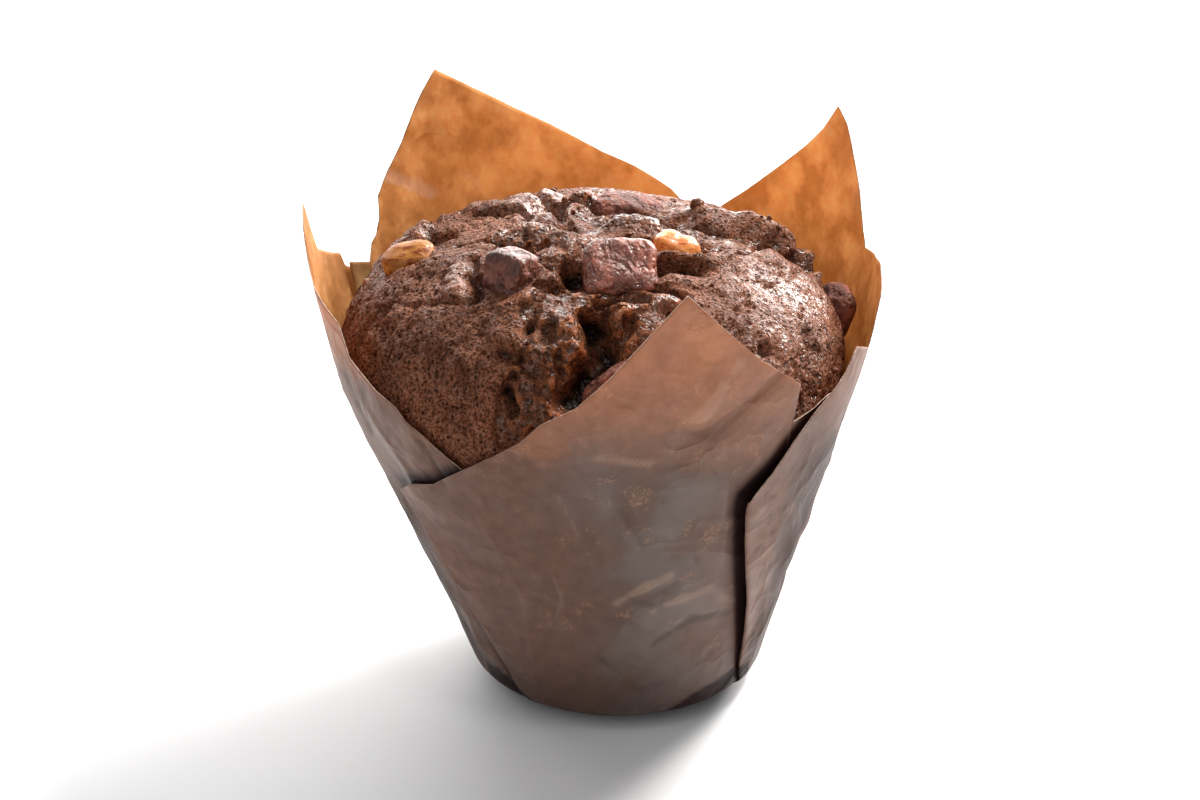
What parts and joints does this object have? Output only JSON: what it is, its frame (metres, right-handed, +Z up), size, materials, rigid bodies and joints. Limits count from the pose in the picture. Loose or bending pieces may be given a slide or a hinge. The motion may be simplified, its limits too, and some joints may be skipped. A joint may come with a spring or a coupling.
{
  "type": "muffin",
  "caption": "Dark chocolate muffin with a burst, craggy dome set with chocolate chunks and nuts, baked in a pleated brown tulip paper case with pointed corners.",
  "frame": {"origin": "middle of the flat base of the paper case, in the plane it rests on", "axes": "+Z up, -Y towards the front pleated petal, +X to the right as seen from the front"},
  "size_m": [0.1004, 0.0995, 0.099],
  "materials": {
    "crumb": "dark brown baked crumb, porous and matt, a little moist",
    "baking_paper": "thin greaseproof baking paper, dark brown outside and orange-brown inside",
    "chocolate": "dark chocolate, half glossy",
    "nut": "baked nut, golden to amber, glazed"
  },
  "bodies": {
    "root": {"cake": "crumb", "paper_case": "baking_paper", "chunk_centre": "chocolate", "chunk_left": "chocolate", "chunk_top": "chocolate", "chunk_right": "chocolate", "chunk_front": "chocolate", "nut_golden": "nut", "nut_amber": "nut"}
  },
  "joints": []
}
